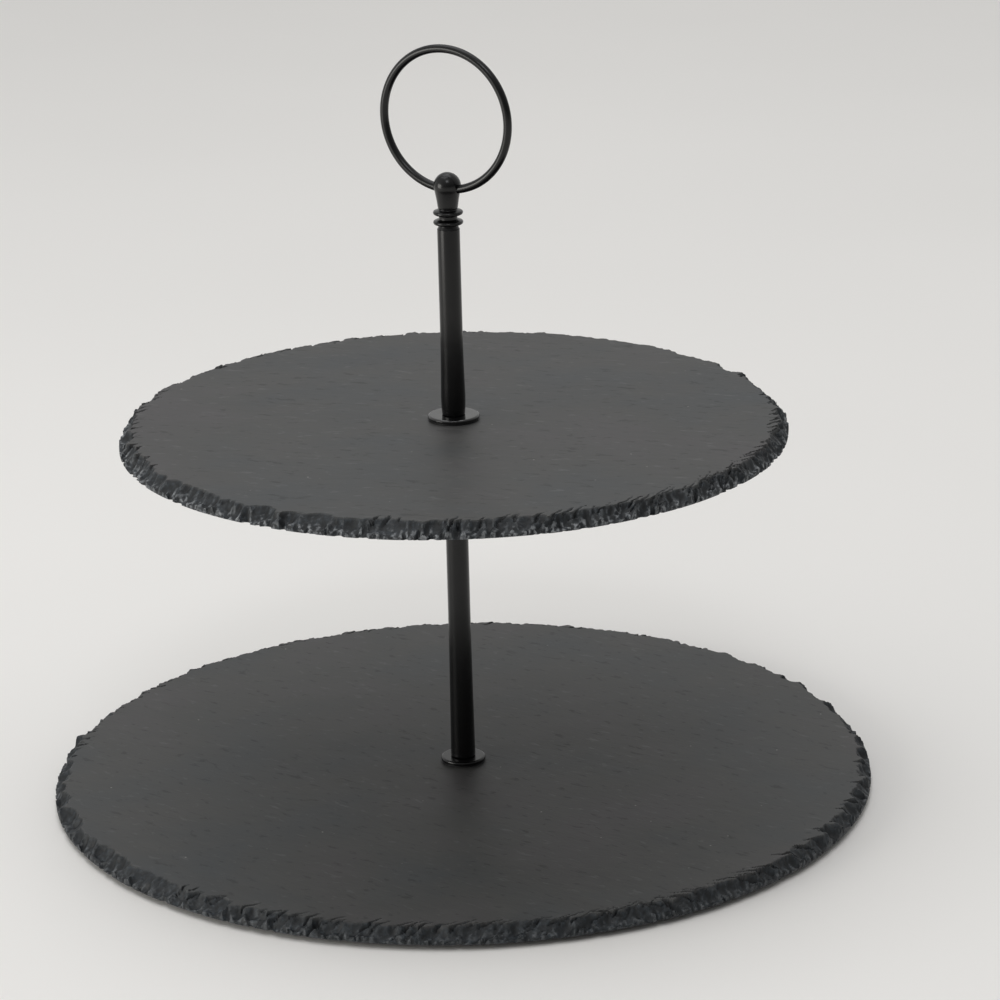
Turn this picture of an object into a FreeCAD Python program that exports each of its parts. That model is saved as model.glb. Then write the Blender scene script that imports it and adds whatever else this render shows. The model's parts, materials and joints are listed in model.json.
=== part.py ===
"""Two-tier slate cake stand on a black metal centre post with a ring handle.

Frame: millimetres, +Z up. The origin is on the table, on the axis of the post.
The ring stands in the XZ plane.

The stand stacks up along Z: foot pads, lower slate, lower flange, lower post,
support flange, upper slate, upper flange, upper post, finial, ring. A base
screw holds the lower post to the lower slate from beneath, and a tie stud in
the upper post passes through the upper slate into the lower post.
"""
import FreeCAD, Part
import math
import os
import random

V = FreeCAD.Vector
UP = V(0, 0, 1)

# ---- Slates -------------------------------------------------------------
LOWER_SLATE_DIA = 300.0
UPPER_SLATE_DIA = 240.0
SLATE_THICKNESS = 5.4
CHIP_PITCH = 6.0            # mean width of one chip along the knapped rim
CHIP_BAND = 6.2             # how far the chips run in from the rim on the top face
CHIP_SCATTER = 0.16         # unevenness of the chips, as a share of their own size
RIM_SCATTER = 0.7           # how far the lower edge wanders inside the nominal diameter
LOWER_SEED = 11
UPPER_SEED = 23

# ---- Feet ---------------------------------------------------------------
FOOT_HEIGHT = 2.0
FOOT_DIA = 12.0
FOOT_EDGE = 0.4             # rounding of each pad's lower edge
FOOT_CIRCLE_DIA = 210.0
FOOT_COUNT = 4

# ---- Thread sizes (M5 coarse, modelled plain at the major diameter) ------
THREAD_DIA = 5.0
THREAD_CLEARANCE = 0.05     # radial, tapped hole over thread
WASHER_CLEARANCE = 0.3      # radial, washer hole over thread
BORE_CLEARANCE = 1.0        # radial, drilled hole in a slate over thread
TIP_CLEARANCE = 2.0         # free depth past a thread's tip in a tapped hole

# ---- Posts --------------------------------------------------------------
LOWER_POST_LENGTH = 122.0
LOWER_POST_TOP_DIA = 8.05
LOWER_POST_SHANK_DIA = 8.15  # where the flare toward the foot begins
LOWER_POST_FOOT_DIA = 9.0
LOWER_FLARE_HEIGHT = 55.0   # of that place above the post's foot
UPPER_POST_LENGTH = 68.0
UPPER_POST_TOP_DIA = 8.0
UPPER_POST_SHANK_DIA = 8.05
UPPER_POST_SWELL_DIA = 8.8  # widest place, just above the foot
UPPER_POST_FOOT_DIA = 8.2
UPPER_FLARE_HEIGHT = 26.0
SWELL_HEIGHT = 7.0          # of the widest place above the post's foot
POST_EDGE = 0.5             # rounding of a post's end edges

# ---- Flanges, washers and cushions --------------------------------------
UPPER_FLANGE_DIA = 18.5
LOWER_FLANGE_DIA = 16.2
FLANGE_THICKNESS = 1.4
FLANGE_EDGE = 1.0           # rounding of a flange's visible edge
CUSHION_THICKNESS = 0.5
CUSHION_INSET = 0.4         # how far a cushion stays inside its flange's rim
BASE_WASHER_DIA = 16.0
BASE_WASHER_THICKNESS = 1.0
RECESS_CLEARANCE = 2.0      # radial, counterbore under the lower slate over the washer

# ---- Base screw and tie stud ---------------------------------------------
SCREW_HEAD_DIA = 10.0
SCREW_HEAD_HEIGHT = 1.8
SCREW_HEAD_EDGE = 0.7
SCREW_HEAD_Z = 1.1          # clear height of the head above the table
SCREW_ENGAGEMENT = 8.0      # thread inside the lower post
CROSS_SLOT_LENGTH = 4.6
CROSS_SLOT_WIDTH = 1.1
CROSS_SLOT_DEPTH = 1.1
STUD_IN_UPPER_POST = 11.0
STUD_IN_LOWER_POST = 8.0
STUD_CHAMFER = 0.6

# ---- Finial and ring ----------------------------------------------------
BALL_DIA = 9.7
BALL_HEIGHT = 15.4          # ball centre above the top of the upper post
NECK_DIA = 7.0              # waist just above the upper bead
BEAD_DIA = 10.6
BEAD_THICKNESS = 1.9
BEAD_HEIGHTS = (2.4, 5.9)   # bead centres above the top of the upper post
GROOVE_DIA = 6.6
FINIAL_SEAT_INSET = 0.1     # the finial's seat inside the rim of the upper post
SPIGOT_LENGTH = 7.0
RING_RADIUS = 24.9          # to the middle of the wire
RING_DROP = 1.2             # how far below the ball's centre the wire goes through
WIRE_DIA = 3.0
RING_JOINT_GAP = 0.6        # between the wire's two ends, inside the ball

# ---- Heights of the stack ------------------------------------------------
LOWER_SLATE_Z = FOOT_HEIGHT
LOWER_SLATE_TOP = LOWER_SLATE_Z + SLATE_THICKNESS
LOWER_FLANGE_Z = LOWER_SLATE_TOP + CUSHION_THICKNESS
LOWER_POST_Z = LOWER_FLANGE_Z + FLANGE_THICKNESS
SUPPORT_FLANGE_Z = LOWER_POST_Z + LOWER_POST_LENGTH
SUPPORT_CUSHION_Z = SUPPORT_FLANGE_Z + FLANGE_THICKNESS
UPPER_SLATE_Z = SUPPORT_CUSHION_Z + CUSHION_THICKNESS
UPPER_CUSHION_Z = UPPER_SLATE_Z + SLATE_THICKNESS
UPPER_FLANGE_Z = UPPER_CUSHION_Z + CUSHION_THICKNESS
UPPER_POST_Z = UPPER_FLANGE_Z + FLANGE_THICKNESS
FINIAL_Z = UPPER_POST_Z + UPPER_POST_LENGTH
BALL_Z = FINIAL_Z + BALL_HEIGHT
RING_Z = BALL_Z - RING_DROP + RING_RADIUS
BASE_WASHER_Z = SCREW_HEAD_Z + SCREW_HEAD_HEIGHT
BASE_CUSHION_Z = BASE_WASHER_Z + BASE_WASHER_THICKNESS
BASE_RECESS_TOP = BASE_CUSHION_Z + CUSHION_THICKNESS

TAPPED_RADIUS = THREAD_DIA / 2 + THREAD_CLEARANCE
WASHER_BORE_RADIUS = THREAD_DIA / 2 + WASHER_CLEARANCE
SLATE_BORE_RADIUS = THREAD_DIA / 2 + BORE_CLEARANCE
BASE_RECESS_RADIUS = BASE_WASHER_DIA / 2 + RECESS_CLEARANCE
FINIAL_SEAT_RADIUS = UPPER_POST_TOP_DIA / 2 - FINIAL_SEAT_INSET


def cylinder(radius, low, high):
    return Part.makeCylinder(radius, high - low, V(0, 0, low), UP)


def revolve(edges):
    """Turn a closed profile in the XZ plane once round the Z axis."""
    face = Part.Face(Part.Wire(edges))
    return face.revolve(V(0, 0, 0), UP, 360)


def line(start, end):
    return Part.makeLine(V(start[0], 0, start[1]), V(end[0], 0, end[1]))


def arc(start, middle, end):
    points = [V(x, 0, z) for x, z in (start, middle, end)]
    return Part.Arc(*points).toShape()


def corner_middle(centre, radius, degrees):
    """A point on a rounding, seen from the rounding's own centre."""
    angle = math.radians(degrees)
    return centre[0] + radius * math.cos(angle), centre[1] + radius * math.sin(angle)


# ---- Slates -------------------------------------------------------------
def rim_points(radius, height, scatter, count, rng):
    """One ring of corner points, each a little nearer the axis than radius."""
    points = []
    for i in range(count):
        angle = 2 * math.pi * (i + CHIP_SCATTER * rng.uniform(-1, 1)) / count
        r = radius - scatter * rng.random()
        z = height + CHIP_SCATTER * SLATE_THICKNESS * rng.uniform(-1, 1)
        points.append(V(r * math.cos(angle), r * math.sin(angle), z))
    return points


def level(points, height):
    return [V(p.x, p.y, height) for p in points]


def band(lower, upper):
    """Triangles between two rings that hold the same number of points."""
    faces = []
    for i in range(len(lower)):
        j = (i + 1) % len(lower)
        for corners in ((lower[i], lower[j], upper[i]), (lower[j], upper[j], upper[i])):
            faces.append(Part.Face(Part.makePolygon([*corners, corners[0]])))
    return faces


def knapped_disc(diameter, underside, seed):
    """Slate disc whose rim is chipped back from the top face, as knapping leaves it."""
    rng = random.Random(seed)
    radius = diameter / 2
    count = round(math.pi * diameter / CHIP_PITCH)
    top = underside + SLATE_THICKNESS
    belly = underside + 0.42 * SLATE_THICKNESS
    low_ring = level(rim_points(radius, underside, RIM_SCATTER, count, rng), underside)
    belly_radius = radius - 0.22 * CHIP_BAND
    belly_ring = rim_points(belly_radius, belly, 0.2 * CHIP_BAND, count, rng)
    top_radius = radius - 0.85 * CHIP_BAND
    top_ring = level(rim_points(top_radius, top, 0.3 * CHIP_BAND, count, rng), top)
    faces = [Part.Face(Part.makePolygon([*ring, ring[0]])) for ring in (low_ring, top_ring)]
    faces += band(low_ring, belly_ring) + band(belly_ring, top_ring)
    disc = Part.Solid(Part.makeShell(faces))
    if disc.Volume < 0:
        disc.reverse()
    return disc.cut(cylinder(SLATE_BORE_RADIUS, underside - 1, top + 1))


def make_lower_slate():
    slate = knapped_disc(LOWER_SLATE_DIA, LOWER_SLATE_Z, LOWER_SEED)
    return slate.cut(cylinder(BASE_RECESS_RADIUS, LOWER_SLATE_Z - 1, BASE_RECESS_TOP))


def make_upper_slate():
    return knapped_disc(UPPER_SLATE_DIA, UPPER_SLATE_Z, UPPER_SEED)


# ---- Feet ---------------------------------------------------------------
def make_foot_pad(index):
    """Round self-adhesive pad on the underside of the lower slate."""
    r, e = FOOT_DIA / 2, FOOT_EDGE
    centre = (r - e, e)
    pad = revolve([
        line((0, 0), (r - e, 0)),
        arc((r - e, 0), corner_middle(centre, e, -45), (r, e)),
        line((r, e), (r, FOOT_HEIGHT)),
        line((r, FOOT_HEIGHT), (0, FOOT_HEIGHT)),
        line((0, FOOT_HEIGHT), (0, 0)),
    ])
    angle = 2 * math.pi * (index + 0.5) / FOOT_COUNT
    reach = FOOT_CIRCLE_DIA / 2
    pad.translate(V(reach * math.cos(angle), reach * math.sin(angle), 0))
    return pad


# ---- Flanges, washers and cushions --------------------------------------
def flange(diameter, low, rounded_top):
    """Flat metal disc with a full rounded edge on its visible side."""
    r, e, t = diameter / 2, FLANGE_EDGE, FLANGE_THICKNESS
    bore = WASHER_BORE_RADIUS
    centre = (r - e, t - e)
    disc = revolve([
        line((bore, 0), (r, 0)),
        line((r, 0), (r, t - e)),
        arc((r, t - e), corner_middle(centre, e, 45), (r - e, t)),
        line((r - e, t), (bore, t)),
        line((bore, t), (bore, 0)),
    ])
    if not rounded_top:
        disc.rotate(V(0, 0, t / 2), V(1, 0, 0), 180)
    disc.translate(V(0, 0, low))
    return disc


def washer(diameter, thickness, low):
    blank = cylinder(diameter / 2, low, low + thickness)
    return blank.cut(cylinder(WASHER_BORE_RADIUS, low - 1, low + thickness + 1))


def cushion(flange_dia, low):
    return washer(flange_dia - 2 * CUSHION_INSET, CUSHION_THICKNESS, low)


# ---- Posts --------------------------------------------------------------
def flare(start, end):
    """Hollow curve from a wide place to a narrower one above it."""
    return arc(start, (end[0] + 0.36 * (start[0] - end[0]), (start[1] + end[1]) / 2), end)


def make_lower_post():
    """Round post that flares toward its foot, tapped at both ends."""
    foot, shank, top = (d / 2 for d in (LOWER_POST_FOOT_DIA, LOWER_POST_SHANK_DIA,
                                        LOWER_POST_TOP_DIA))
    e = POST_EDGE
    low, high = LOWER_POST_Z, LOWER_POST_Z + LOWER_POST_LENGTH
    post = revolve([
        line((0, low), (foot - e, low)),
        arc((foot - e, low), corner_middle((foot - e, low + e), e, -45), (foot, low + e)),
        flare((foot, low + e), (shank, low + LOWER_FLARE_HEIGHT)),
        line((shank, low + LOWER_FLARE_HEIGHT), (top, high - e)),
        arc((top, high - e), corner_middle((top - e, high - e), e, 45), (top - e, high)),
        line((top - e, high), (0, high)),
        line((0, high), (0, low)),
    ])
    post = post.cut(cylinder(TAPPED_RADIUS, low - 1, low + SCREW_ENGAGEMENT + TIP_CLEARANCE))
    return post.cut(cylinder(TAPPED_RADIUS, high - STUD_IN_LOWER_POST - TIP_CLEARANCE, high + 1))


def make_upper_post():
    """Round post that swells just above its foot, tapped at both ends."""
    foot, swell = UPPER_POST_FOOT_DIA / 2, UPPER_POST_SWELL_DIA / 2
    shank, top = UPPER_POST_SHANK_DIA / 2, UPPER_POST_TOP_DIA / 2
    e = POST_EDGE
    low, high = UPPER_POST_Z, UPPER_POST_Z + UPPER_POST_LENGTH
    widest = low + SWELL_HEIGHT
    near_foot = (foot + 0.62 * (swell - foot), low + 0.4 * SWELL_HEIGHT)
    post = revolve([
        line((0, low), (foot - e, low)),
        arc((foot - e, low), corner_middle((foot - e, low + e), e, -45), (foot, low + e)),
        arc((foot, low + e), near_foot, (swell, widest)),
        flare((swell, widest), (shank, low + UPPER_FLARE_HEIGHT)),
        line((shank, low + UPPER_FLARE_HEIGHT), (top, high)),
        line((top, high), (0, high)),
        line((0, high), (0, low)),
    ])
    post = post.cut(cylinder(TAPPED_RADIUS, low - 1, low + STUD_IN_UPPER_POST))
    return post.cut(cylinder(TAPPED_RADIUS, high - SPIGOT_LENGTH - TIP_CLEARANCE, high + 1))


# ---- Base screw and tie stud ---------------------------------------------
def make_base_screw():
    """Low round-headed M5 screw with a cross recess, driven from beneath."""
    r, e = SCREW_HEAD_DIA / 2, SCREW_HEAD_EDGE
    low, seat = SCREW_HEAD_Z, BASE_WASHER_Z
    tip = LOWER_POST_Z + SCREW_ENGAGEMENT
    thread, c = THREAD_DIA / 2, STUD_CHAMFER
    screw = revolve([
        line((0, low), (r - e, low)),
        arc((r - e, low), corner_middle((r - e, low + e), e, -45), (r, low + e)),
        line((r, low + e), (r, seat)),
        line((r, seat), (thread, seat)),
        line((thread, seat), (thread, tip - c)),
        line((thread, tip - c), (thread - c, tip)),
        line((thread - c, tip), (0, tip)),
        line((0, tip), (0, low)),
    ])
    half_l, half_w = CROSS_SLOT_LENGTH / 2, CROSS_SLOT_WIDTH / 2
    for half_x, half_y in ((half_l, half_w), (half_w, half_l)):
        corner = V(-half_x, -half_y, low - 1)
        screw = screw.cut(Part.makeBox(2 * half_x, 2 * half_y, CROSS_SLOT_DEPTH + 1, corner))
    return screw


def make_tie_stud():
    """M5 stud from the upper post, through the upper slate, into the lower post."""
    low = SUPPORT_FLANGE_Z - STUD_IN_LOWER_POST
    high = UPPER_POST_Z + STUD_IN_UPPER_POST
    r, c = THREAD_DIA / 2, STUD_CHAMFER
    return revolve([
        line((0, low), (r - c, low)),
        line((r - c, low), (r, low + c)),
        line((r, low + c), (r, high - c)),
        line((r, high - c), (r - c, high)),
        line((r - c, high), (0, high)),
        line((0, high), (0, low)),
    ])


# ---- Finial and ring ----------------------------------------------------
def wire_ring(gap):
    """Round wire bent to a ring, its two ends gap apart at the bottom."""
    open_angle = math.degrees(gap / RING_RADIUS)
    section = Part.Wire(Part.makeCircle(WIRE_DIA / 2, V(RING_RADIUS, 0, RING_Z), UP))
    section.rotate(V(0, 0, RING_Z), V(0, 1, 0), 90 + open_angle / 2)
    return Part.Face(section).revolve(V(0, 0, RING_Z), V(0, 1, 0), 360 - open_angle)


def bead(height):
    """One thin disc with a fully round rim."""
    half, rim = BEAD_THICKNESS / 2, BEAD_DIA / 2 - BEAD_THICKNESS / 2
    z = FINIAL_Z + height
    return revolve([
        line((0, z - half), (rim, z - half)),
        arc((rim, z - half), (rim + half, z), (rim, z + half)),
        line((rim, z + half), (0, z + half)),
        line((0, z + half), (0, z - half)),
    ])


def make_finial():
    """Ball on a waisted neck with two beads, on a threaded spigot."""
    seat = FINIAL_SEAT_RADIUS
    groove, neck, ball = GROOVE_DIA / 2, NECK_DIA / 2, BALL_DIA / 2
    neck_foot = FINIAL_Z + BEAD_HEIGHTS[1] + BEAD_THICKNESS / 2
    first_bead = FINIAL_Z + BEAD_HEIGHTS[0]
    shoulder = 20.0                     # degrees below the ball's equator
    joint = corner_middle((0, BALL_Z), ball, -shoulder)
    side = corner_middle((0, BALL_Z), ball, 45)
    waist = (neck + 0.42 * (joint[0] - neck), neck_foot + 0.5 * (joint[1] - neck_foot))
    core = revolve([
        line((0, FINIAL_Z), (seat, FINIAL_Z)),
        line((seat, FINIAL_Z), (groove, first_bead)),
        line((groove, first_bead), (groove, neck_foot)),
        line((groove, neck_foot), (neck, neck_foot)),
        arc((neck, neck_foot), waist, joint),
        arc(joint, side, (0, BALL_Z + ball)),
        line((0, BALL_Z + ball), (0, FINIAL_Z)),
    ])
    for height in BEAD_HEIGHTS:
        core = core.fuse(bead(height))
    core = core.fuse(cylinder(THREAD_DIA / 2, FINIAL_Z - SPIGOT_LENGTH, FINIAL_Z + 1))
    return core.removeSplitter().cut(wire_ring(0.0))


NODES = {
    "ring_handle": wire_ring(RING_JOINT_GAP),
    "finial": make_finial(),
    "upper_post": make_upper_post(),
    "tie_stud": make_tie_stud(),
    "upper_flange": flange(UPPER_FLANGE_DIA, UPPER_FLANGE_Z, rounded_top=True),
    "upper_cushion": cushion(UPPER_FLANGE_DIA, UPPER_CUSHION_Z),
    "upper_slate": make_upper_slate(),
    "support_cushion": cushion(UPPER_FLANGE_DIA, SUPPORT_CUSHION_Z),
    "support_flange": flange(UPPER_FLANGE_DIA, SUPPORT_FLANGE_Z, rounded_top=False),
    "lower_post": make_lower_post(),
    "lower_flange": flange(LOWER_FLANGE_DIA, LOWER_FLANGE_Z, rounded_top=True),
    "lower_cushion": cushion(LOWER_FLANGE_DIA, LOWER_SLATE_TOP),
    "lower_slate": make_lower_slate(),
    "base_cushion": washer(BASE_WASHER_DIA, CUSHION_THICKNESS, BASE_CUSHION_Z),
    "base_washer": washer(BASE_WASHER_DIA, BASE_WASHER_THICKNESS, BASE_WASHER_Z),
    "base_screw": make_base_screw(),
}
for number in range(FOOT_COUNT):
    NODES[f"foot_pad_{number + 1}"] = make_foot_pad(number)

os.makedirs("parts", exist_ok=True)
for name, shape in NODES.items():
    shape.exportStep(f"parts/{name}.step")
    box = shape.optimalBoundingBox(False)
    print(f"{name:16s} solids {len(shape.Solids)}  valid {shape.isValid()}"
          f"  {shape.Volume / 1000:8.3f} cm3  z {box.ZMin:7.2f} to {box.ZMax:7.2f}")
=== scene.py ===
import json
import math
import random

import bpy
from mathutils import Matrix, Vector, noise

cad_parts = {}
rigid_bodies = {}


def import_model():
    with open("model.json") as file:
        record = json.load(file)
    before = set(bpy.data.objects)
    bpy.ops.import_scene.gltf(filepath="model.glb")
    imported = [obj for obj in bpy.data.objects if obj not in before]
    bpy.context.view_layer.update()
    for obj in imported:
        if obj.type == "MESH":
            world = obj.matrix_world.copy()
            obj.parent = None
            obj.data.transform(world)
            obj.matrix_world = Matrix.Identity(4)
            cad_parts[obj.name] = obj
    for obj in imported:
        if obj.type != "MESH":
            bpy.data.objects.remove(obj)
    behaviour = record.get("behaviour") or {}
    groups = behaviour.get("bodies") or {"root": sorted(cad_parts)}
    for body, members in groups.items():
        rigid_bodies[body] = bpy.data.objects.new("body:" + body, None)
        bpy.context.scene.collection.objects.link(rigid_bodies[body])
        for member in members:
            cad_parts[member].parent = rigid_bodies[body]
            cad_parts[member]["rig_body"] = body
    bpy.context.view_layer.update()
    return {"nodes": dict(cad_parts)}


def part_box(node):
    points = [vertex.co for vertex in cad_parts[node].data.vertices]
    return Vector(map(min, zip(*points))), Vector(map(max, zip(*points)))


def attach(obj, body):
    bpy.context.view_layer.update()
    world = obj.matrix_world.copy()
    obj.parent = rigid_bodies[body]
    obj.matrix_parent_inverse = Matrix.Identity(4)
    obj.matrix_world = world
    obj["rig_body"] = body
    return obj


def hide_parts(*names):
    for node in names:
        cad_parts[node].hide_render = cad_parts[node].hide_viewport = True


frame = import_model()

MM = 0.001
TURN = 2 * math.pi

# The stand is looked at from this azimuth. The slates' grain and the lights are set out from it.
VIEW_AZIMUTH = math.radians(30)


# ---- Colour and nodes ---------------------------------------------------
def paint(hex_colour):
    """An sRGB hex colour as linear RGBA."""
    channels = []
    for start in (1, 3, 5):
        value = int(hex_colour[start:start + 2], 16) / 255
        channels.append(value / 12.92 if value <= 0.04045 else ((value + 0.055) / 1.055) ** 2.4)
    return (*channels, 1.0)


def add(tree, kind, inputs=None, output=0, stops=None, **settings):
    """Adds a shader node, links or sets its inputs, and returns one of its outputs."""
    node = tree.nodes.new("ShaderNode" + kind)
    for key, value in settings.items():
        setattr(node, key, value)
    if stops:
        elements = node.color_ramp.elements
        elements.remove(elements[1])
    for place, value in stops or []:
        element = elements.new(place) if place != stops[0][0] else elements[0]
        element.position = place
        element.color = value if isinstance(value, tuple) else (value, value, value, 1)
    for key, value in (inputs or {}).items():
        if isinstance(value, bpy.types.NodeSocket):
            tree.links.new(value, node.inputs[key])
        else:
            node.inputs[key].default_value = value
    return node.outputs[output] if node.outputs else node


def new_material(name):
    material = bpy.data.materials.new(name)
    material.use_nodes = True
    material.node_tree.nodes.clear()
    return material, material.node_tree


def per_mm(size):
    """The noise scale that gives blotches about size millimetres across."""
    return 1 / (size * MM)


# ---- Materials ----------------------------------------------------------
def riven_slate(name, grain_angle, crushed):
    """Dark roofing slate, riven along its cleavage and knapped round the rim.

    Riving leaves a soft grey face with short dark and pale flecks along the grain and now and then
    a bright speck of mica. Knapping bares fresh stone, which is darker and bluer, with pale bruises
    where the chips let go, a painted highlight on the arrises and painted shade down in the
    hollows; crushed is how pale the bruises and highlights are."""
    material, tree = new_material(name)
    place = add(tree, "TexCoord", output="Object")
    turned_place = add(tree, "Mapping", {"Vector": place, "Rotation": (0, 0, -grain_angle)})
    grain = add(tree, "Mapping", {"Vector": turned_place, "Scale": (1 / 3.0, 1, 1)})
    fleck_grain = add(tree, "Mapping", {"Vector": turned_place, "Scale": (1 / 2.4, 1, 1)})

    # Broad clouds of warmer and cooler grey.
    clouds = add(tree, "TexNoise", {"Vector": place, "Scale": per_mm(55), "Detail": 4.0,
                                    "Roughness": 0.55})
    face = add(tree, "ValToRGB", {"Fac": clouds}, stops=[
        (0.32, paint("#333638")), (0.52, paint("#393938")), (0.70, paint("#3d3b3c"))])
    # Streaks along the grain, 5 mm wide and three times as long.
    streaks = add(tree, "TexNoise", {"Vector": grain, "Scale": per_mm(5), "Detail": 5.0,
                                     "Roughness": 0.62})
    streak_tone = add(tree, "ValToRGB", {"Fac": streaks}, stops=[
        (0.34, 0.34), (0.50, 0.50), (0.66, 0.68)])
    face = add(tree, "Mix", {0: 0.6, 6: face, 7: streak_tone}, output=2,
               data_type="RGBA", blend_type="OVERLAY")
    # Flecks 4 to 6 mm long and 2 mm wide, where a skin of stone came away or stayed on.
    flecks = add(tree, "TexNoise", {"Vector": fleck_grain, "Scale": per_mm(2.6), "Detail": 3.0,
                                    "Roughness": 0.55, "Distortion": 0.3})
    hollow = add(tree, "ValToRGB", {"Fac": flecks}, stops=[(0.31, 1.0), (0.39, 0.0)])
    skin = add(tree, "ValToRGB", {"Fac": flecks}, stops=[(0.62, 0.0), (0.72, 1.0)])
    hollow_share = add(tree, "Math", {0: hollow, 1: 0.26}, operation="MULTIPLY")
    face = add(tree, "Mix", {0: hollow_share, 6: face, 7: paint("#17191a")}, output=2,
               data_type="RGBA")
    skin_share = add(tree, "Math", {0: skin, 1: 0.18}, operation="MULTIPLY")
    face = add(tree, "Mix", {0: skin_share, 6: face, 7: paint("#5d5e5f")}, output=2,
               data_type="RGBA")
    # Mica specks, one to about 8 square centimetres. They are drawn half a millimetre
    # across, twice their real size, so that they show.
    near_speck = add(tree, "TexVoronoi", {"Vector": place, "Scale": per_mm(10)},
                     voronoi_dimensions="2D")
    speck = add(tree, "ValToRGB", {"Fac": near_speck}, stops=[(0.018, 1.0), (0.042, 0.0)])
    chance = near_speck.node.outputs["Color"]
    rare = add(tree, "ValToRGB", {"Fac": chance}, stops=[(0.84, 0.0), (0.92, 1.0)])
    speck_share = add(tree, "Math", {0: speck, 1: rare}, operation="MULTIPLY")
    face = add(tree, "Mix", {0: speck_share, 6: face, 7: paint("#85837f")}, output=2,
               data_type="RGBA")

    fresh = add(tree, "Attribute", output="Fac", attribute_name="fresh")
    # Bruise is positive on crushed arrises, where it also paints a highlight, and negative down in
    # the hollows, where it paints shade.
    bruise = add(tree, "Attribute", output="Fac", attribute_name="bruise")
    grit = add(tree, "TexNoise", {"Vector": place, "Scale": per_mm(2.2), "Detail": 5.0,
                                  "Roughness": 0.72})
    stone = add(tree, "ValToRGB", {"Fac": grit}, stops=[
        (0.34, paint("#0e1215")), (0.52, paint("#191e22")), (0.68, paint("#2b3238"))])
    crumbs = add(tree, "TexNoise", {"Vector": place, "Scale": per_mm(1.6), "Detail": 3.0,
                                    "Roughness": 0.6})
    crumb_spots = add(tree, "ValToRGB", {"Fac": crumbs}, stops=[(0.42, 0.0), (0.56, 1.0)])
    # Pale crushed stone on the arrises and low on the rim; on the arrises this is also a painted
    # highlight.
    pale_crush_and_highlight = add(tree, "Math", {0: bruise, 1: crumb_spots}, operation="MULTIPLY", use_clamp=True)
    pale_crush_and_highlight = add(tree, "Math", {0: pale_crush_and_highlight, 1: crushed}, operation="MULTIPLY")
    stone = add(tree, "Mix", {0: pale_crush_and_highlight, 6: stone, 7: paint("#8a8d90")}, output=2,
                data_type="RGBA")
    # Painted shade: the stone is darkened down in the hollows of the chips.
    painted_hollow_shade = add(tree, "Math", {0: bruise, 1: -0.8}, operation="MULTIPLY", use_clamp=True)
    stone = add(tree, "Mix", {0: painted_hollow_shade, 6: stone, 7: paint("#0b0d0f")}, output=2,
                data_type="RGBA")
    colour = add(tree, "Mix", {0: fresh, 6: face, 7: stone}, output=2, data_type="RGBA")

    sheen = add(tree, "Math", {0: streaks, 1: 0.20, 2: 0.42}, operation="MULTIPLY_ADD")
    dull = add(tree, "Math", {0: hollow, 1: 0.07, 2: sheen}, operation="MULTIPLY_ADD")
    dull = add(tree, "Math", {0: skin, 1: -0.05, 2: dull}, operation="MULTIPLY_ADD")
    rough = add(tree, "Math", {0: fresh, 1: 0.04, 2: dull}, operation="MULTIPLY_ADD")

    # Relief, less than a tenth of a millimetre deep: streaks, hollow flecks and fine grain
    # on the riven face, and coarser hackle on the fresh stone.
    fine = add(tree, "TexNoise", {"Vector": grain, "Scale": per_mm(1.0), "Detail": 4.0,
                                  "Roughness": 0.65})
    fine_relief = add(tree, "Math", {0: fine, 1: 0.5}, operation="MULTIPLY")
    relief = add(tree, "Math", {0: streaks, 1: 2.0, 2: fine_relief}, operation="MULTIPLY_ADD")
    relief = add(tree, "Math", {0: hollow, 1: -0.45, 2: relief}, operation="MULTIPLY_ADD")
    relief = add(tree, "Math", {0: skin, 1: 0.4, 2: relief}, operation="MULTIPLY_ADD")
    hackle = add(tree, "Math", {0: grit, 1: 3.5}, operation="MULTIPLY")
    relief = add(tree, "Mix", {0: fresh, 2: relief, 3: hackle})
    normal = add(tree, "Bump", {"Height": relief, "Strength": 0.6, "Distance": 0.08 * MM})

    surface = add(tree, "BsdfPrincipled", {"Base Color": colour, "Roughness": rough,
                                           "Normal": normal, "IOR": 1.45})
    add(tree, "OutputMaterial", {"Surface": surface})
    return material


def black_coat(name, colour, dusty, roughness, ior, peel_mm, peel_depth_mm):
    """Sprayed black lacquer on turned steel. Faint orange peel breaks up the edges of its
    reflections, handling leaves slightly duller patches, and dusty is its colour where
    dust clings."""
    material, tree = new_material(name)
    place = add(tree, "TexCoord", output="Object")
    dust = add(tree, "TexNoise", {"Vector": place, "Scale": per_mm(6), "Detail": 4.0,
                                  "Roughness": 0.6})
    tint = add(tree, "ValToRGB", {"Fac": dust}, stops=[(0.35, paint(colour)), (0.75, paint(dusty))])
    rubbed = add(tree, "TexNoise", {"Vector": place, "Scale": per_mm(3.5), "Detail": 4.0,
                                    "Roughness": 0.6})
    rough = add(tree, "Math", {0: rubbed, 1: 0.12, 2: roughness - 0.06}, operation="MULTIPLY_ADD")
    peel = add(tree, "TexNoise", {"Vector": place, "Scale": per_mm(peel_mm), "Detail": 2.0})
    normal = add(tree, "Bump", {"Height": peel, "Strength": 0.5, "Distance": peel_depth_mm * MM})
    surface = add(tree, "BsdfPrincipled", {"Base Color": tint, "Roughness": rough,
                                           "Normal": normal, "IOR": ior})
    add(tree, "OutputMaterial", {"Surface": surface})
    return material


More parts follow.
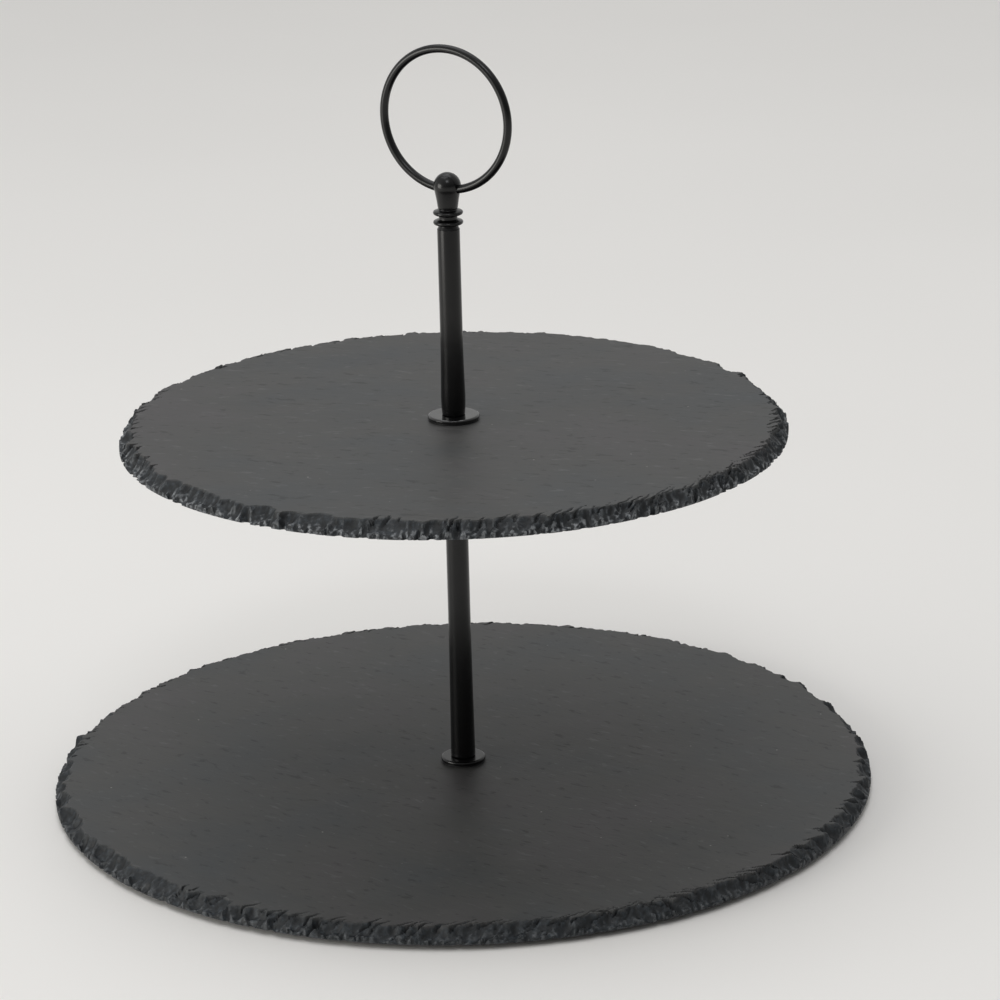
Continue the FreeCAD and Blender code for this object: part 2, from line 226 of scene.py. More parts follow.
def zinc_plated():
    """Bright zinc plate on turned steel: pale and faintly blue, with marks round the axis
    and dull patches where it has begun to tarnish. The marks are 0.5 mm apart, several
    times coarser than real ones, so that they show."""
    material, tree = new_material("steel_bright_zinc_plated")
    place = add(tree, "TexCoord", output="Object")
    tarnish = add(tree, "TexNoise", {"Vector": place, "Scale": per_mm(2.5), "Detail": 4.0,
                                     "Roughness": 0.6})
    tint = add(tree, "ValToRGB", {"Fac": tarnish}, stops=[
        (0.3, paint("#a9abab")), (0.7, paint("#cdd0d2"))])
    rough = add(tree, "Math", {0: tarnish, 1: 0.18, 2: 0.22}, operation="MULTIPLY_ADD")
    marks = add(tree, "TexWave", {"Vector": place, "Scale": per_mm(0.5), "Distortion": 1.5,
                                  "Detail": 2.0}, output=1, wave_type="RINGS", rings_direction="Z")
    normal = add(tree, "Bump", {"Height": marks, "Strength": 0.25, "Distance": 0.02 * MM})
    surface = add(tree, "BsdfPrincipled", {"Base Color": tint, "Roughness": rough,
                                           "Metallic": 1.0, "Normal": normal})
    add(tree, "OutputMaterial", {"Surface": surface})
    return material


def soft_black(name, dark, light, roughness, grain_mm):
    """Moulded soft plastic or rubber: dull, with a fine even grain that holds dust. The
    grain is drawn coarser than the real one, which is under 0.1 mm, so that it shows."""
    material, tree = new_material(name)
    place = add(tree, "TexCoord", output="Object")
    dust = add(tree, "TexNoise", {"Vector": place, "Scale": per_mm(2), "Detail": 5.0,
                                  "Roughness": 0.7})
    tint = add(tree, "ValToRGB", {"Fac": dust}, stops=[(0.35, paint(dark)), (0.75, paint(light))])
    rough = add(tree, "Math", {0: dust, 1: 0.15, 2: roughness}, operation="MULTIPLY_ADD")
    grain = add(tree, "TexNoise", {"Vector": place, "Scale": per_mm(grain_mm), "Detail": 2.0})
    normal = add(tree, "Bump", {"Height": grain, "Strength": 0.4, "Distance": 0.03 * MM})
    surface = add(tree, "BsdfPrincipled", {"Base Color": tint, "Roughness": rough,
                                           "Normal": normal})
    add(tree, "OutputMaterial", {"Surface": surface})
    return material


SLATE_UPPER = riven_slate("slate_upper_riven_knapped",
                          grain_angle=VIEW_AZIMUTH - math.radians(18), crushed=1.0)
SLATE_LOWER = riven_slate("slate_lower_riven_knapped",
                          grain_angle=VIEW_AZIMUTH - math.radians(38), crushed=0.35)
# A lacquer's IOR is about 1.5. The satin coat reflects a little less than that, and the
# gloss coat, which is thick and hard, a little more.
SATIN = black_coat("steel_satin_black_lacquer", colour="#050506", dusty="#0b0b0b",
                   roughness=0.22, ior=1.42, peel_mm=0.7, peel_depth_mm=0.008)
GLOSS = black_coat("steel_gloss_black_lacquer", colour="#070708", dusty="#0e0e0e",
                   roughness=0.09, ior=1.62, peel_mm=1.2, peel_depth_mm=0.005)
ZINC = zinc_plated()
CUSHION = soft_black("pvc_moulded_black", dark="#161617", light="#26262a",
                     roughness=0.45, grain_mm=0.4)
RUBBER = soft_black("rubber_moulded_black", dark="#1c1c1d", light="#303031",
                    roughness=0.62, grain_mm=0.25)


# ---- Making pieces ------------------------------------------------------
# Profiles and outlines are in millimetres, and become metres as vertices are made.
ON_AXIS = 1e-6
FILLET_STEPS = 5
ROWS_PER_PITCH = 8


def finish_piece(name, vertices, faces, material, node, sharp_degrees=40):
    """A mesh object on its node's body, standing for that node."""
    mesh = bpy.data.meshes.new(name)
    mesh.from_pydata(vertices, [], faces)
    mesh.validate()
    mesh.materials.append(material)
    mesh.polygons.foreach_set("use_smooth", [True] * len(mesh.polygons))
    mesh.set_sharp_from_angle(angle=math.radians(sharp_degrees))
    piece = bpy.data.objects.new(name, mesh)
    bpy.context.scene.collection.objects.link(piece)
    owner = frame["nodes"][node]["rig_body"]
    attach(piece, owner)
    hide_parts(node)
    return piece


def rounded(corners, closed):
    """Profile points from corners (radius, height, fillet), each fillet a short curve.

    A fillet takes less than half of each side, so that two of them never cross."""
    points, count = [], len(corners)
    for i, (r, z, fillet) in enumerate(corners):
        here = Vector((r, z))
        if fillet == 0 or (not closed and i in (0, count - 1)):
            points.append(here)
            continue
        before = Vector(corners[i - 1][:2]) - here
        after = Vector(corners[(i + 1) % count][:2]) - here
        half = before.angle(after) / 2
        reach = min(fillet / math.tan(half), 0.49 * before.length, 0.49 * after.length)
        start, end = here + before.normalized() * reach, here + after.normalized() * reach
        for k in range(FILLET_STEPS + 1):
            t = k / FILLET_STEPS
            points.append((1 - t) ** 2 * start + 2 * t * (1 - t) * here + t * t * end)
    return points


def turned(name, corners, material, node, closed=False, segments=96, origin=(0, 0), thread=None):
    """A piece turned on the lathe from a profile in millimetres.

    A closed profile goes round a bore; an open one starts and ends on the axis.
    thread is (low, high, pitch, depth) for a helical thread between two heights, and
    origin is where its axis stands, in metres."""
    profile = rounded(corners, closed)
    if thread:
        profile = with_thread_rows(profile, thread)
    vertices, rows, faces = [], [], []
    for point in profile:
        if point.x < ON_AXIS:
            rows.append([len(vertices)] * segments)
            vertices.append((origin[0], origin[1], point.y * MM))
            continue
        rows.append(list(range(len(vertices), len(vertices) + segments)))
        for k in range(segments):
            angle = TURN * k / segments
            radius = point.x - thread_cut(point, angle, thread)
            vertices.append((origin[0] + radius * math.cos(angle) * MM,
                             origin[1] + radius * math.sin(angle) * MM, point.y * MM))
    pairs = list(zip(rows, rows[1:])) + ([(rows[-1], rows[0])] if closed else [])
    for low, high in pairs:
        for k in range(segments):
            n = (k + 1) % segments
            corner = [low[k], low[n], high[n], high[k]]
            face = [v for i, v in enumerate(corner) if v not in corner[:i]]
            if len(face) > 2:
                faces.append(face)
    return finish_piece(name, vertices, faces, material, node)


def with_thread_rows(profile, thread):
    """Extra profile points between a thread's ends, so that it has somewhere to bend."""
    low, high, pitch, _ = thread
    middle = (low + high) / 2
    radius = max(p.x for p in profile if abs(p.y - middle) < (high - low) / 2 + 0.01)
    count = round(ROWS_PER_PITCH * (high - low) / pitch)
    rows = [Vector((radius, low + i * pitch / ROWS_PER_PITCH)) for i in range(1, count)]
    below = [p for p in profile if p.y < middle]
    above = [p for p in profile if p.y > middle]
    return below + rows + above


def thread_cut(point, angle, thread):
    """How deep the thread is cut at one point of its cylinder."""
    if not thread or not thread[0] < point.y < thread[1]:
        return 0.0
    low, high, pitch, depth = thread
    phase = (point.y / pitch - angle / TURN) % 1
    fade = min(1.0, (point.y - low) / pitch, (high - point.y) / pitch)
    return depth * fade * abs(2 * phase - 1)


def box_mm(node):
    """Radius, lowest and highest point of a round node, in millimetres."""
    low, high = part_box(node)
    return (high.x - low.x) / 2 / MM, low.z / MM, high.z / MM


# ---- Slates -------------------------------------------------------------
# The chips lie in a band round the rim, in narrow columns of vertices side by side.
CHIP_BAND = 12.0
RIM_ROWS = 28
COLUMN_WIDTH = 0.58
# The layers that the stone steps along where it breaks.
LAMINA = 1.15
# Stone thinner than this under a bite has crumbled away, down to the deepest bite.
THINNEST_LIP = 0.35
DEEPEST_BITE = 3.0
STEEPEST_LEAN = 2.6
# The riven face is level where the flange sits, and has a ring of vertices every 3 mm.
LEVEL_RADIUS = 12.0
FACE_RING_SPACING = 3.0


class Chip:
    """One scoop left in the rim where a chip was knocked off, sized in millimetres.

    along is its place round the rim, left and right its reach to each side and inward
    its reach from the rim. floor is its height at the rim: below nothing, it bites the
    outline too. lean is how far it runs sideways for each millimetre inward, curl how
    hollow it is, and square how angular: 1 is a pointed notch, 2 a rounded scoop."""

    def __init__(self, along, left, right, inward, floor, lean, curl, square):
        self.along, self.left, self.right, self.inward = along, left, right, inward
        self.floor, self.lean, self.curl, self.square = floor, lean, curl, square

    def spread(self):
        sideways = self.lean * self.inward
        return self.left - min(0, sideways), self.right + max(0, sideways)

    def height(self, offset, depth, top):
        """Height of the stone left under the chip, offset sideways and depth inward."""
        across = offset - self.lean * depth
        side = abs(across) / (self.right if across > 0 else self.left)
        far = (side ** self.square + (depth / self.inward) ** self.square) ** (1 / self.square)
        return top if far >= 1 else self.floor + (top - self.floor) * far ** self.curl


def chip_family(rng, radius, split, pitch, side, inward, floor, follow, curl, square,
                least_lean=0.0):
    """Chips of one size all round, pitch apart on average.

    follow is how far they lean along the direction the stone splits in, and chips that
    would lean less than least_lean are left out. The rim is dressed a little deeper on
    the viewer's side."""
    chips, along = [], rng.uniform(0, pitch)
    while along < TURN * radius:
        angle = along / radius
        lean = max(-STEEPEST_LEAN, min(STEEPEST_LEAN, -math.tan(split - angle)))
        dressing = 0.80 - 0.20 * math.cos(angle - VIEW_AZIMUTH - math.pi / 2)
        shallow = 1 - 0.13 * abs(lean) * (1 - follow)
        if abs(lean) >= least_lean:
            chips.append(Chip(along, rng.uniform(*side), rng.uniform(*side),
                              dressing * shallow * rng.uniform(*inward), rng.uniform(*floor),
                              follow * lean + rng.uniform(-0.4, 0.4),
                              rng.uniform(*curl), rng.uniform(*square)))
        along += pitch * rng.uniform(0.45, 1.55)
    return chips


def rim_chips(rng, radius, raggedness, split):
    """Broad flakes, smaller ones over them, splinters where the rim runs along the
    splitting direction, bites out of the outline and crumbs at the lower edge."""
    flakes = chip_family(rng, radius, split, pitch=8.5, side=(4.0, 10.0), inward=(4.4, 7.4),
                         floor=(0.3, 1.6), follow=0.3, curl=(1.3, 2.6), square=(1.6, 2.6))
    smaller = chip_family(rng, radius, split, pitch=5.5, side=(1.8, 4.6), inward=(2.6, 7.0),
                          floor=(0.4, 3.2), follow=0.3, curl=(1.1, 2.0), square=(1.3, 2.2))
    splinters = chip_family(rng, radius, split, pitch=4.6, side=(1.0, 2.3), inward=(6.2, 10.0),
                            floor=(0.4, 2.2), follow=0.9, curl=(0.8, 1.5), square=(1.0, 1.3),
                            least_lean=0.45)
    bites = chip_family(rng, radius, split, pitch=7.0, side=(1.6, 4.8), inward=(1.6, 3.8),
                        floor=(-4.5 * raggedness, 0.8), follow=0.1, curl=(0.9, 1.4),
                        square=(1.3, 2.2))
    crumbs = chip_family(rng, radius, split, pitch=3.0, side=(0.7, 2.4), inward=(0.7, 2.6),
                         floor=(-2.0 * raggedness, 1.2), follow=0.1, curl=(0.8, 1.4),
                         square=(1.2, 2.0))
    return flakes + smaller + splinters + bites + crumbs


def chips_by_column(chips, length, columns):
    """For each column round the rim, the chips that can touch it and its offset to them."""
    step = length / columns
    table = [[] for _ in range(columns)]
    for chip in chips:
        left, right = chip.spread()
        first = math.floor((chip.along - left) / step)
        last = math.ceil((chip.along + right) / step)
        for column in range(first, last + 1):
            table[column % columns].append((chip, column * step - chip.along))
    return table


def stone_left(touching, depth, top, drift=0.0):
    """Height of the stone at one depth from the rim, under every chip that touches it.

    drift moves the place sideways, so that the ridges between chips run crooked."""
    return min([top] + [chip.height(offset + drift, depth, top) for chip, offset in touching])


def laminated(z, x, y, seed):
    """Broken stone at a height z: it steps along its laminae and is rough between them."""
    waver = noise.noise(Vector((x / 7, y / 7, seed)))
    phase = z / LAMINA + 0.8 * waver
    part = phase - math.floor(phase)
    tread = math.floor(phase) + part ** 3 * (4 - 3 * part)
    stepped = z + 0.55 * LAMINA * (tread - phase)
    hackle = noise.noise(Vector((x / 2.8, y / 2.8, seed + z / 3)))
    return stepped + 0.75 * hackle + 0.35 * noise.noise(Vector((x / 1.1, y / 1.1, seed + z)))


def undulation(x, y, seed):
    """Gentle rise and fall of a riven face, in millimetres, at a place in millimetres."""
    broad = noise.noise(Vector((x / 70, y / 70, seed)))
    middle = noise.noise(Vector((x / 24, y / 24, seed + 7.3)))
    return 0.22 * broad + 0.09 * middle


class StoneMesh:
    """Vertices in rings round the axis, the faces between them, and at each vertex how fresh the
    stone is and how bruised, which also carries a painted highlight on arrises and painted shade in
    hollows."""

    def __init__(self):
        self.vertices, self.faces, self.fresh, self.bruise = [], [], [], []

    def put(self, r, angle, z, fresh=0.0, bruise=0.0):
        self.vertices.append((r * math.cos(angle) * MM, r * math.sin(angle) * MM, z * MM))
        self.fresh.append(fresh)
        self.bruise.append(bruise)
        return len(self.vertices) - 1

    def ring(self, r, count, height):
        angles = [TURN * k / count for k in range(count)]
        return [self.put(r, angle, height(r, angle)) for angle in angles]

    def join(self, first, second):
        """Quads between two rings of the same count."""
        for k in range(len(first)):
            n = (k + 1) % len(first)
            self.faces.append((first[k], first[n], second[n], second[k]))

    def thin_out(self, many, few, flip=False):
        """Triangles from a ring to one with a quarter of its vertices."""
        for k in range(len(few)):
            n = (k + 1) % len(few)
            a, b, c, d, e = (many[(4 * k + i) % len(many)] for i in range(5))
            fan = [(a, b, few[k]), (b, c, few[k]), (c, few[n], few[k]), (c, d, few[n]),
                   (d, e, few[n])]
            self.faces += [tuple(reversed(face)) if flip else face for face in fan]


def chipped_column(angle, touching, radius, thickness, seed):
    """One column of the rim, from the outline inward: radius, height and how chipped."""
    # The outline wavers a little, and draws in where a bite has left too thin a lip.
    waver = noise.noise(Vector((4 * math.cos(angle), 4 * math.sin(angle), seed)))
    start = max(0.0, 0.15 + 0.3 * waver)
    while start < DEEPEST_BITE and stone_left(touching, start, thickness) < THINNEST_LIP:
        start += 0.05
    # Rows lie closer together near the outline, where the chips are steepest.
    points = []
    for row in range(RIM_ROWS):
        depth = start + (CHIP_BAND - start) * (row / (RIM_ROWS - 1)) ** 1.15
        r = radius - depth
        x, y = r * math.cos(angle), r * math.sin(angle)
        top = thickness + undulation(x, y, seed)
        # Each chip is read a little to one side and in or out, so that its edges are ragged.
        drift = 1.5 * noise.noise(Vector((x / 3.6, y / 3.6, seed + 3)))
        push = 1.1 * noise.noise(Vector((x / 3.2, y / 3.2, seed + 11)))
        z = stone_left(touching, max(0.0, depth + push), top, drift)
        chipped = min(1.0, (top - z) / 0.25)
        z = z + chipped * (laminated(z, x, y, seed) - z)
        points.append((r, max(0.3, min(top, z)), chipped))
    return points


def crush_and_painted_light_at(surface, column, row, thickness):
    """How crushed the stone is: positive on arrises and low on the rim, and negative down in the
    hollows. On the arrises it is also a painted highlight, and in the hollows painted shade."""
    _, z, chipped = surface[column][row]
    # Convexity against the neighbouring columns: arrises get a painted highlight, hollows painted
    # shade.
    sides = surface[column - 2][row][1] + surface[(column + 2) % len(surface)][row][1]
    arris = max(-1.0, min(1.0, (z - sides / 2) / 0.4))
    worn = max(0.0, 1 - z / (0.6 * thickness))
    return chipped * min(1.0, worn * 0.6 + arris * (0.2 + worn if arris > 0 else 1.0))


def chipped_rim(stone, surface, low, thickness):
    """Puts the rim's columns in the mesh, from the underside round the lower edge and in
    over the chips. Returns its first ring and its last."""
    under_edge, lower_edge, rows = [], [], [[] for _ in range(RIM_ROWS)]
    for column, points in enumerate(surface):
        angle = TURN * column / len(surface)
        for row, (r, z, chipped) in enumerate(points):
            bruise = crush_and_painted_light_at(surface, column, row, thickness)
            rows[row].append(stone.put(r, angle, low + z, chipped, bruise))
        rim = points[0][0]
        lower_edge.append(stone.put(rim - 0.05, angle, low + 0.18, 1.0, 0.5))
        under_edge.append(stone.put(rim - 0.5, angle, low, 0.6))
    stone.join(under_edge, lower_edge)
    stone.join(lower_edge, rows[0])
    for near, far in zip(rows, rows[1:]):
        stone.join(near, far)
    return under_edge, rows[-1]


def knapped_slate(name, node, material, seed, raggedness, split, bore, underside):
    """A riven slate disc with every chip of its rim in the mesh, split along one direction.

    underside is the profile from the foot of the bore outward, as (radius, height)."""
    radius, low, high = box_mm(node)
    thickness = high - low
    length = TURN * radius
    # The face and the underside have a quarter of the rim's columns.
    few = round(length / COLUMN_WIDTH / 4)
    columns = 4 * few
    chips = rim_chips(random.Random(seed), radius, raggedness, split)
    surface = [chipped_column(TURN * column / columns, touching, radius, thickness, seed)
               for column, touching in enumerate(chips_by_column(chips, length, columns))]
    stone = StoneMesh()
    under_edge, chip_edge = chipped_rim(stone, surface, low, thickness)

    def riven(r, angle):
        level = min(1.0, max(0.0, (r - LEVEL_RADIUS) / 12))
        return high + level * undulation(r * math.cos(angle), r * math.sin(angle), seed)

    face_edge = radius - CHIP_BAND - 2.5
    inner = stone.ring(face_edge, few, riven)
    stone.thin_out(chip_edge, inner)
    steps = round((face_edge - LEVEL_RADIUS) / FACE_RING_SPACING)
    for i in range(1, steps + 1):
        following = stone.ring(face_edge - (face_edge - LEVEL_RADIUS) * i / steps, few, riven)
        stone.join(inner, following)
        inner = following
    profile = [(bore + 0.3, high), (bore, high - 0.3), *underside, (radius - 6, low)]
    for r, z in profile:
        following = stone.ring(r, few, lambda *_: z)
        stone.join(inner, following)
        inner = following
    stone.thin_out(under_edge, inner, flip=True)

    piece = finish_piece(name, stone.vertices, stone.faces, material, node, sharp_degrees=32)
    for label, values in (("fresh", stone.fresh), ("bruise", stone.bruise)):
        layer = piece.data.attributes.new(label, "FLOAT", "POINT")
        layer.data.foreach_set("value", values)
    return piece


THREAD_RADIUS = box_mm("tie_stud")[0]
SLATE_BORE = THREAD_RADIUS + 1.0
RECESS_ROOM = 2.0


def lower_underside():
    """Bore, then the recess that takes the washer and its cushion, then the flat."""
    radius, top = box_mm("base_washer")[0] + RECESS_ROOM, box_mm("base_cushion")[2]
    low = box_mm("lower_slate")[1]
    return [(SLATE_BORE, top), (radius, top), (radius, low + 0.3), (radius + 0.3, low)]


knapped_slate("lower_slate_stone", "lower_slate", SLATE_LOWER, seed=41, raggedness=0.5,
              split=VIEW_AZIMUTH + math.radians(22), bore=SLATE_BORE,
              underside=lower_underside())
knapped_slate("upper_slate_stone", "upper_slate", SLATE_UPPER, seed=67, raggedness=1.0,
              split=VIEW_AZIMUTH + math.radians(50), bore=SLATE_BORE,
              underside=[(SLATE_BORE, box_mm("upper_slate")[1])])


# ---- Posts --------------------------------------------------------------
TAP = THREAD_RADIUS + 0.05
TIP_ROOM = 2.0
LOWER_SHANK_RADIUS = 4.075
LOWER_TOP_RADIUS = 4.025
LOWER_FLARE_HEIGHT = 55
UPPER_SHANK_RADIUS = 4.025
UPPER_TOP_RADIUS = 4.0
UPPER_FLARE_HEIGHT = 26
SWELL_HEIGHT = 7
stud_low, stud_high = box_mm("tie_stud")[1:]
screw_tip = box_mm("base_screw")[2]


def flare(wide, low, narrow, high):
    """Corners of a hollow curve from a wide place to a narrower one above it."""
    corners = []
    for i in range(9):
        t = i / 8
        share = (1 - t) * (1 - 0.56 * t)
        corners.append((narrow + (wide - narrow) * share, low + t * (high - low), 0))
    return corners


def lower_post_piece():
    foot, low, high = box_mm("lower_post")
    return turned("lower_post_turned", [
        (0, screw_tip + TIP_ROOM, 0), (TAP, screw_tip + TIP_ROOM, 0), (TAP, low, 0.15),
        (foot, low, 0.5),
        *flare(foot, low + 1.2, LOWER_SHANK_RADIUS, low + LOWER_FLARE_HEIGHT),
        (LOWER_TOP_RADIUS, high, 0.5),
        (TAP, high, 0.15), (TAP, stud_low - TIP_ROOM, 0), (0, stud_low - TIP_ROOM, 0)],
        SATIN, "lower_post")


def upper_post_piece():
    swell, low, high = box_mm("upper_post")
    spigot = box_mm("finial")[1] - TIP_ROOM
    swelling = [(swell - 0.22, low + 1.2, 0), (swell - 0.11, low + 2.6, 0),
                (swell - 0.03, low + 4.6, 0)]
    return turned("upper_post_turned", [
        (0, stud_high, 0), (TAP, stud_high, 0), (TAP, low, 0.15), (swell - 0.3, low, 0.45),
        *swelling,
        *flare(swell, low + SWELL_HEIGHT, UPPER_SHANK_RADIUS, low + UPPER_FLARE_HEIGHT),
        (UPPER_TOP_RADIUS, high, 0.1),
        (TAP, high, 0.15), (TAP, spigot, 0), (0, spigot, 0)], SATIN, "upper_post")


lower_post_piece()
upper_post_piece()


# ---- Flanges, washers and cushions --------------------------------------
WASHER_BORE = THREAD_RADIUS + 0.3


def washer_piece(name, node, material):
    radius, low, high = box_mm(node)
    return turned(name, [(WASHER_BORE, low, 0.1), (radius, low, 0.2), (radius, high, 0.2),
                         (WASHER_BORE, high, 0.1)], material, node, closed=True, segments=128)


def flange_piece(name, node, material, rounded_top=True):
    """Flat disc with one edge rolled over, the upper one or the lower."""
    radius, low, high = box_mm(node)
    roll = [(radius, low, 0.15), (radius, high - 0.55, 0.3), (radius - 0.18, high - 0.18, 0.3),
            (radius - 0.6, high, 0.3)]
    corners = [(WASHER_BORE, low, 0.1), *roll, (WASHER_BORE, high, 0.1)]
    if not rounded_top:
        corners = [(r, low + high - z, fillet) for r, z, fillet in reversed(corners)]
    return turned(name, corners, material, node, closed=True, segments=128)


flange_piece("upper_flange_disc", "upper_flange", GLOSS)
flange_piece("support_flange_disc", "support_flange", GLOSS, rounded_top=False)
flange_piece("lower_flange_disc", "lower_flange", SATIN)
washer_piece("base_washer_disc", "base_washer", ZINC)
for cushion in ("upper_cushion", "support_cushion", "lower_cushion", "base_cushion"):
    washer_piece(f"{cushion}_ring", cushion, CUSHION)


# ---- Stud and screw -----------------------------------------------------
PITCH = 0.8
THREAD_DEPTH = 0.49
POINT = 0.6
CROSS_HALF_WIDTH = 0.55
CROSS_REACH = 2.3
CROSS_DEPTH = 1.1


def stud_piece():
    """Stud threaded from end to end, with both ends chamfered."""
    r, low, high = box_mm("tie_stud")
    corners = [(0, low, 0), (r - POINT, low, 0), (r, low + POINT, 0), (r, high - POINT, 0),
               (r - POINT, high, 0), (0, high, 0)]
    return turned("tie_stud_threaded", corners, ZINC, "tie_stud", segments=48,
                  thread=(low + POINT, high - POINT, PITCH, THREAD_DEPTH))


def cross_cutter(face):
    """Two crossed bars that taper upward from the head's face, to cut its recess."""
    vertices, faces = [], []
    levels = ((face - 0.5, CROSS_REACH), (face + CROSS_DEPTH, CROSS_REACH * 0.6))
    quads = ((3, 2, 1, 0), (4, 5, 6, 7), (0, 1, 5, 4), (1, 2, 6, 5), (2, 3, 7, 6), (3, 0, 4, 7))
    for sideways in (False, True):
        start = len(vertices)
        for z, reach in levels:
            x, y = (reach, CROSS_HALF_WIDTH) if sideways else (CROSS_HALF_WIDTH, reach)
            for sx, sy in ((-1, -1), (1, -1), (1, 1), (-1, 1)):
                vertices.append((sx * x * MM, sy * y * MM, z * MM))
        faces += [tuple(start + i for i in quad) for quad in quads]
    mesh = bpy.data.meshes.new("cross")
    mesh.from_pydata(vertices, [], faces)
    cutter = bpy.data.objects.new("cross", mesh)
    bpy.context.scene.collection.objects.link(cutter)
    return cutter


def screw_piece():
    """Low round head with a cross recess, and a thread all the way to the head."""
    head, low, tip = box_mm("base_screw")
    r, seat = THREAD_RADIUS, box_mm("base_washer")[1]
    plain = seat + 0.4
    piece = turned("base_screw_threaded", [
        (0, low, 0), (1.2, low, 0), (2.4, low, 0), (head, low, 0.9), (head, seat, 0.15),
        (r, seat, 0), (r, plain, 0), (r, tip - POINT, 0), (r - POINT, tip, 0), (0, tip, 0)],
        ZINC, "base_screw", thread=(plain, tip - POINT, PITCH, THREAD_DEPTH))
    cutter = cross_cutter(low)
    cut = piece.modifiers.new("cross recess", "BOOLEAN")
    cut.operation, cut.object, cut.solver, cut.use_self = "DIFFERENCE", cutter, "EXACT", True
    bpy.context.view_layer.update()
    applied = bpy.data.meshes.new_from_object(piece.evaluated_get(
        bpy.context.evaluated_depsgraph_get()))
    piece.modifiers.clear()
    piece.data = applied
    bpy.data.objects.remove(cutter)
    return piece


stud_piece()
screw_piece()


# ---- Finial and ring ----------------------------------------------------
ring_low, ring_high = (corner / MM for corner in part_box("ring_handle"))
WIRE = (ring_high.y - ring_low.y) / 2
RING_RADIUS = (ring_high.x - ring_low.x) / 2 - WIRE
RING_CENTRE = (ring_high.z + ring_low.z) / 2
BALL_RADIUS = 4.85
GROOVE_RADIUS = 3.3
WAIST_RADIUS = 3.5
SEAT_RADIUS = 3.9
BEAD_HEIGHTS = (2.4, 5.9)
BEAD_HALF_HEIGHT = 1.15
# The neck meets the ball this far below its equator.
NECK_ANGLE = 20


def finial_piece():
    """Ball, waisted neck and two thin round-edged beads above the top of the post."""
    bead, low, top = box_mm("finial")
    seat = box_mm("upper_post")[2]
    centre = top - BALL_RADIUS
    corners = [(0, low, 0), (THREAD_RADIUS - 0.4, low, 0), (THREAD_RADIUS, low + 0.4, 0),
               (THREAD_RADIUS, seat, 0.05), (SEAT_RADIUS, seat, 0.05)]
    for height in BEAD_HEIGHTS:
        z = seat + height
        corners += [(GROOVE_RADIUS, z - BEAD_HALF_HEIGHT, 0.25), (bead - 1.3, z - 0.93, 0.3),
                    (bead, z - 0.5, 0.8), (bead, z + 0.5, 0.8), (bead - 1.3, z + 0.93, 0.3),
                    (GROOVE_RADIUS, z + BEAD_HALF_HEIGHT, 0.25)]
    neck = seat + BEAD_HEIGHTS[-1] + BEAD_HALF_HEIGHT
    joint = centre - BALL_RADIUS * math.sin(math.radians(NECK_ANGLE))
    wide = BALL_RADIUS * math.cos(math.radians(NECK_ANGLE))
    for i in range(1, 9):
        t = i / 9
        hollow = 0.62 * t + 0.38 * t * t
        corners.append((WAIST_RADIUS + (wide - WAIST_RADIUS) * hollow,
                        neck + (joint - neck) * t, 0))
    for i in range(0, 23):
        angle = math.radians(-NECK_ANGLE + (90 + NECK_ANGLE) * i / 22)
        corners.append((max(0.0, BALL_RADIUS * math.cos(angle)),
                        centre + BALL_RADIUS * math.sin(angle), 0))
    return turned("finial_turned", corners, SATIN, "finial")


def ring_piece():
    """Round wire bent to a ring whose two ends nearly meet inside the ball."""
    around, section = 240, 32
    gap = 0.3 / RING_RADIUS
    vertices, faces = [], []
    for i in range(around + 1):
        turn = -math.pi / 2 + gap + (TURN - 2 * gap) * i / around
        for k in range(section):
            angle = TURN * k / section
            r = RING_RADIUS + WIRE * math.cos(angle)
            vertices.append((r * math.cos(turn) * MM, WIRE * math.sin(angle) * MM,
                             (RING_CENTRE + r * math.sin(turn)) * MM))
    for i in range(around):
        for k in range(section):
            n = (k + 1) % section
            a, b = i * section, (i + 1) * section
            faces.append((a + k, b + k, b + n, a + n))
    faces.append(tuple(range(section)))
    faces.append(tuple(reversed(range(around * section, (around + 1) * section))))
    return finish_piece("ring_handle_wire", vertices, faces, SATIN, "ring_handle")


finial_piece()
ring_piece()


# ---- Feet ---------------------------------------------------------------
for number in range(1, 5):
    pad = f"foot_pad_{number}"
    low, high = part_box(pad)
    centre = (low + high) / 2
    r, base, top = (high.x - low.x) / 2 / MM, low.z / MM, high.z / MM
    turned(f"{pad}_moulded", [(0, base, 0), (r - 2.5, base, 0), (r, base, 0.6), (r, top, 0.1),
                              (0, top, 0)],
           RUBBER, pad, segments=64, origin=(centre.x, centre.y))


# ---- Floor, light and camera --------------------------------------------
def pale_floor():
    """A plain pale matt table top under the stand."""
    material, tree = new_material("board_matt_painted_pale")
    place = add(tree, "TexCoord", output="Object")
    cloud = add(tree, "TexNoise", {"Vector": place, "Scale": per_mm(400), "Detail": 2.0})
    tint = add(tree, "ValToRGB", {"Fac": cloud}, stops=[
        (0.3, paint("#efedea")), (0.7, paint("#f2f0ed"))])
    surface = add(tree, "BsdfPrincipled", {"Base Color": tint, "Roughness": 0.6})
    add(tree, "OutputMaterial", {"Surface": surface})
    mesh = bpy.data.meshes.new("table")
    reach = 9.0
    corners = [(-reach, -reach, 0), (reach, -reach, 0), (reach, reach, 0), (-reach, reach, 0)]
    mesh.from_pydata(corners, [], [(0, 1, 2, 3)])
    mesh.materials.append(material)
    table = bpy.data.objects.new("table", mesh)
    bpy.context.scene.collection.objects.link(table)


def away_from_stand(azimuth, elevation):
    """Direction from the stand, with azimuth counted from the viewer's side."""
    a, e = math.radians(azimuth) + VIEW_AZIMUTH, math.radians(elevation)
    return Vector((math.sin(a) * math.cos(e), -math.cos(a) * math.cos(e), math.sin(e)))


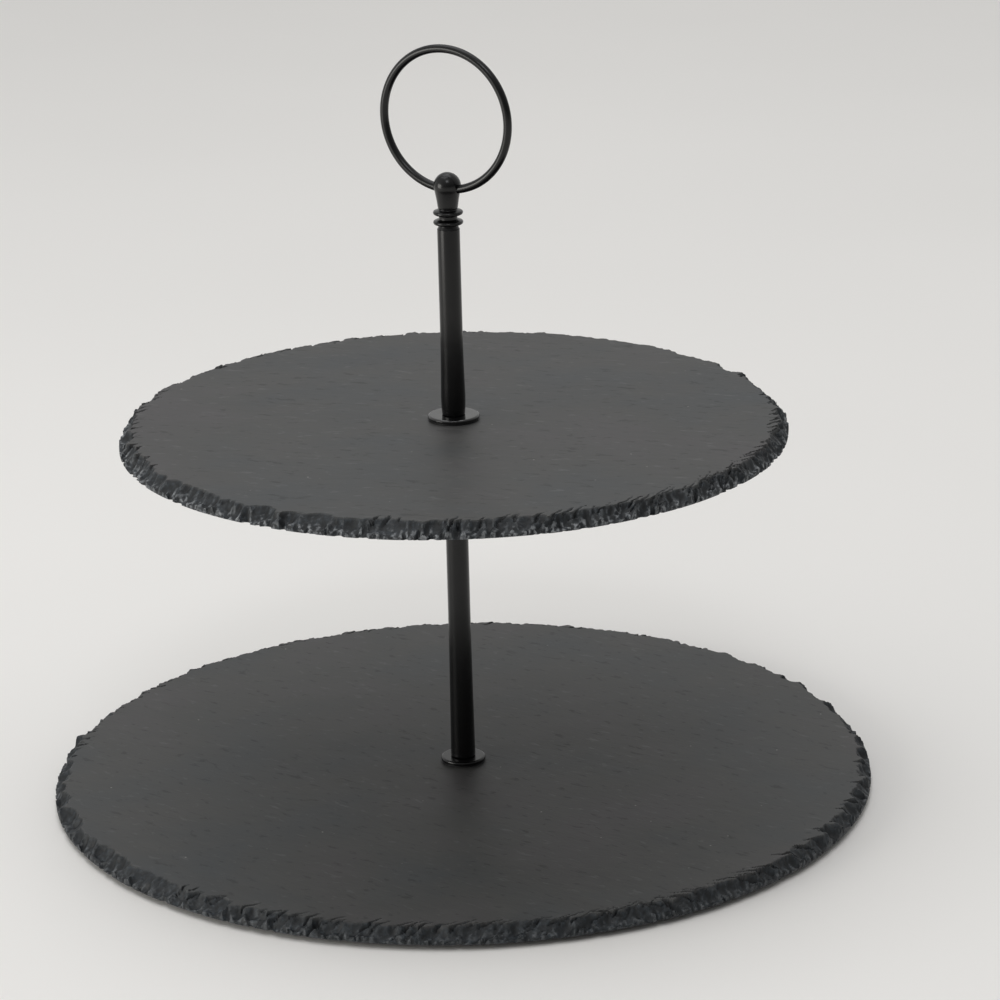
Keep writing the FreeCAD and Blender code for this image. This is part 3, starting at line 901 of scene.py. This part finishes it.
def soft_box(name, azimuth, elevation, distance, width, height, power, colour):
    """A rectangular soft light that looks at the middle of the stand."""
    light = bpy.data.lights.new(name, "AREA")
    light.shape, light.size, light.size_y = "RECTANGLE", width, height
    light.energy, light.color = power, paint(colour)[:3]
    lamp = bpy.data.objects.new(name, light)
    bpy.context.scene.collection.objects.link(lamp)
    away = away_from_stand(azimuth, elevation)
    lamp.location = away * distance + Vector((0, 0, 0.1))
    lamp.rotation_euler = away.to_track_quat("Z", "Y").to_euler()


def pale_room():
    """Soft light all round: pale behind the stand and to the left, dimmer by the viewer."""
    world = bpy.data.worlds.new("pale room")
    bpy.context.scene.world = world
    world.use_nodes = True
    tree = world.node_tree
    tree.nodes.clear()
    direction = add(tree, "TexCoord", output="Generated")
    bright_side = away_from_stand(-150, 35)
    facing = add(tree, "VectorMath", {0: direction, 1: bright_side}, output="Value",
                 operation="DOT_PRODUCT")
    tone = add(tree, "MapRange", {"Value": facing, "From Min": -0.9, "From Max": 0.45,
                                  "To Min": 0.09, "To Max": 0.74})
    light = add(tree, "Background", {"Color": paint("#f7f7f6"), "Strength": tone})
    add(tree, "OutputWorld", {"Surface": light})


def make_camera():
    """Looks down at the stand by 18 degrees, rolled slightly as a hand-held camera is."""
    lens = bpy.data.cameras.new("camera")
    lens.lens, lens.sensor_width = 133.1, 36.0
    lens.clip_start, lens.clip_end = 0.05, 50
    camera = bpy.data.objects.new("camera", lens)
    bpy.context.scene.collection.objects.link(camera)
    azimuth = Matrix.Rotation(VIEW_AZIMUTH, 4, "Z")
    pitch = Matrix.Rotation(math.radians(90 - 18.125), 4, "X")
    roll = Matrix.Rotation(math.radians(-1.393), 4, "Z")
    place = azimuth @ (Vector((15.8, -1265.3, 521.8)) * MM)
    camera.matrix_world = Matrix.Translation(place) @ azimuth @ pitch @ roll
    bpy.context.scene.camera = camera


pale_floor()
pale_room()
soft_box("window_left", azimuth=-68, elevation=8, distance=1.5, width=0.8, height=0.65,
         power=8.0, colour="#fffdf8")
soft_box("ceiling", azimuth=-150, elevation=76, distance=1.7, width=1.5, height=1.3,
         power=7.5, colour="#fbfcff")
soft_box("ceiling_front", azimuth=0, elevation=53, distance=1.6, width=0.45, height=0.35,
         power=2.4, colour="#fbfcff")
make_camera()
bpy.context.scene.view_settings.view_transform = "Standard"
